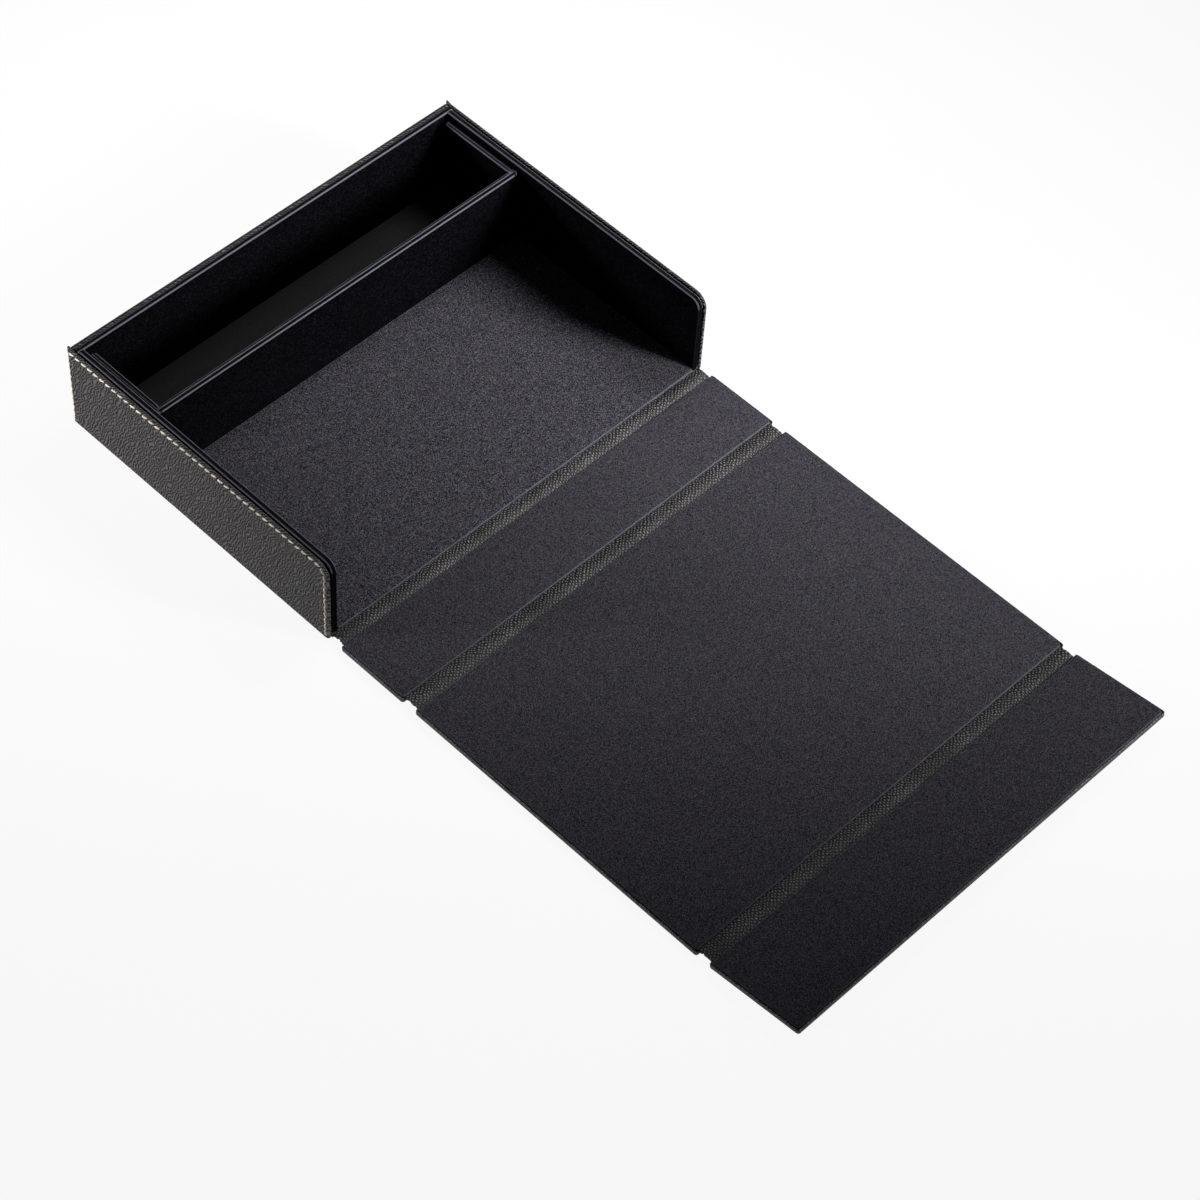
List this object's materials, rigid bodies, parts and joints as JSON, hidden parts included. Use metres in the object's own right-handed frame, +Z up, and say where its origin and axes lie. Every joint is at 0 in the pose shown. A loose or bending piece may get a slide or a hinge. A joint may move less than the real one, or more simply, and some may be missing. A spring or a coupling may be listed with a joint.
{
  "type": "jewelry box",
  "caption": "Flat-opening jewelry box: velvet-lined tray with a divided compartment and a stitched leatherette cover whose spine, lid and flap fold over it and shut on magnets.",
  "frame": {"origin": "centre of the tray's flat underside, on the table", "axes": "+X along the hinges to the right side wall, +Y from the hinges to the back wall so the open cover runs towards -Y, +Z up"},
  "size_m": [0.262, 0.505, 0.0552],
  "materials": {
    "leatherette": "pebbled charcoal leatherette, low sheen",
    "liner_velvet": "short-pile dark blue-grey velvet",
    "wall_velvet": "near-black velvet wrapped over the walls' edges",
    "grey_board": "plain grey board inside the covered panels",
    "steel": "plated steel discs",
    "thread": "cream sewing thread",
    "dark_paper": "smooth matt black paper"
  },
  "bodies": {
    "tray": {"base_cover": "leatherette", "left_side_panel": "leatherette", "right_side_panel": "leatherette", "back_panel": "leatherette", "base_hinge_strip": "leatherette", "floor_liner": "liner_velvet", "left_wall_velvet": "wall_velvet", "right_wall_velvet": "wall_velvet", "back_wall_velvet": "wall_velvet", "divider_velvet": "wall_velvet", "base_board": "grey_board", "left_panel_board": "grey_board", "left_wall_board": "grey_board", "right_panel_board": "grey_board", "right_wall_board": "grey_board", "back_panel_board": "grey_board", "back_wall_board": "grey_board", "divider_front_board": "grey_board", "divider_left_board": "grey_board", "divider_right_board": "grey_board", "catch_plates": "steel", "left_stitching": "thread", "right_stitching": "thread", "compartment_floor": "dark_paper"},
    "spine": {"spine_cover": "leatherette", "spine_board": "grey_board", "spine_liner": "liner_velvet", "lid_hinge_strip": "leatherette"},
    "lid": {"lid_cover": "leatherette", "lid_board": "grey_board", "lid_liner": "liner_velvet", "flap_hinge_strip": "leatherette"},
    "flap": {"flap_cover": "leatherette", "flap_board": "grey_board", "flap_liner": "liner_velvet", "flap_magnets": "steel"}
  },
  "joints": [
    {"name": "spine_fold", "type": "hinge", "parent": "tray", "child": "spine", "pos_m": [0, -0.0985, 0.0019], "axis": [-1, 0, 0], "range_deg": [0, 90], "deforming": ["base_hinge_strip"]},
    {"name": "lid_fold", "type": "hinge", "parent": "spine", "child": "lid", "pos_m": [0, -0.154, 0.0018], "axis": [-1, 0, 0], "range_deg": [0, 90], "deforming": ["lid_hinge_strip"]},
    {"name": "flap_fold", "type": "hinge", "parent": "lid", "child": "flap", "pos_m": [0, -0.3518, 0.0012], "axis": [-1, 0, 0], "range_deg": [-7.2, 82.8], "deforming": ["flap_hinge_strip"]}
  ]
}
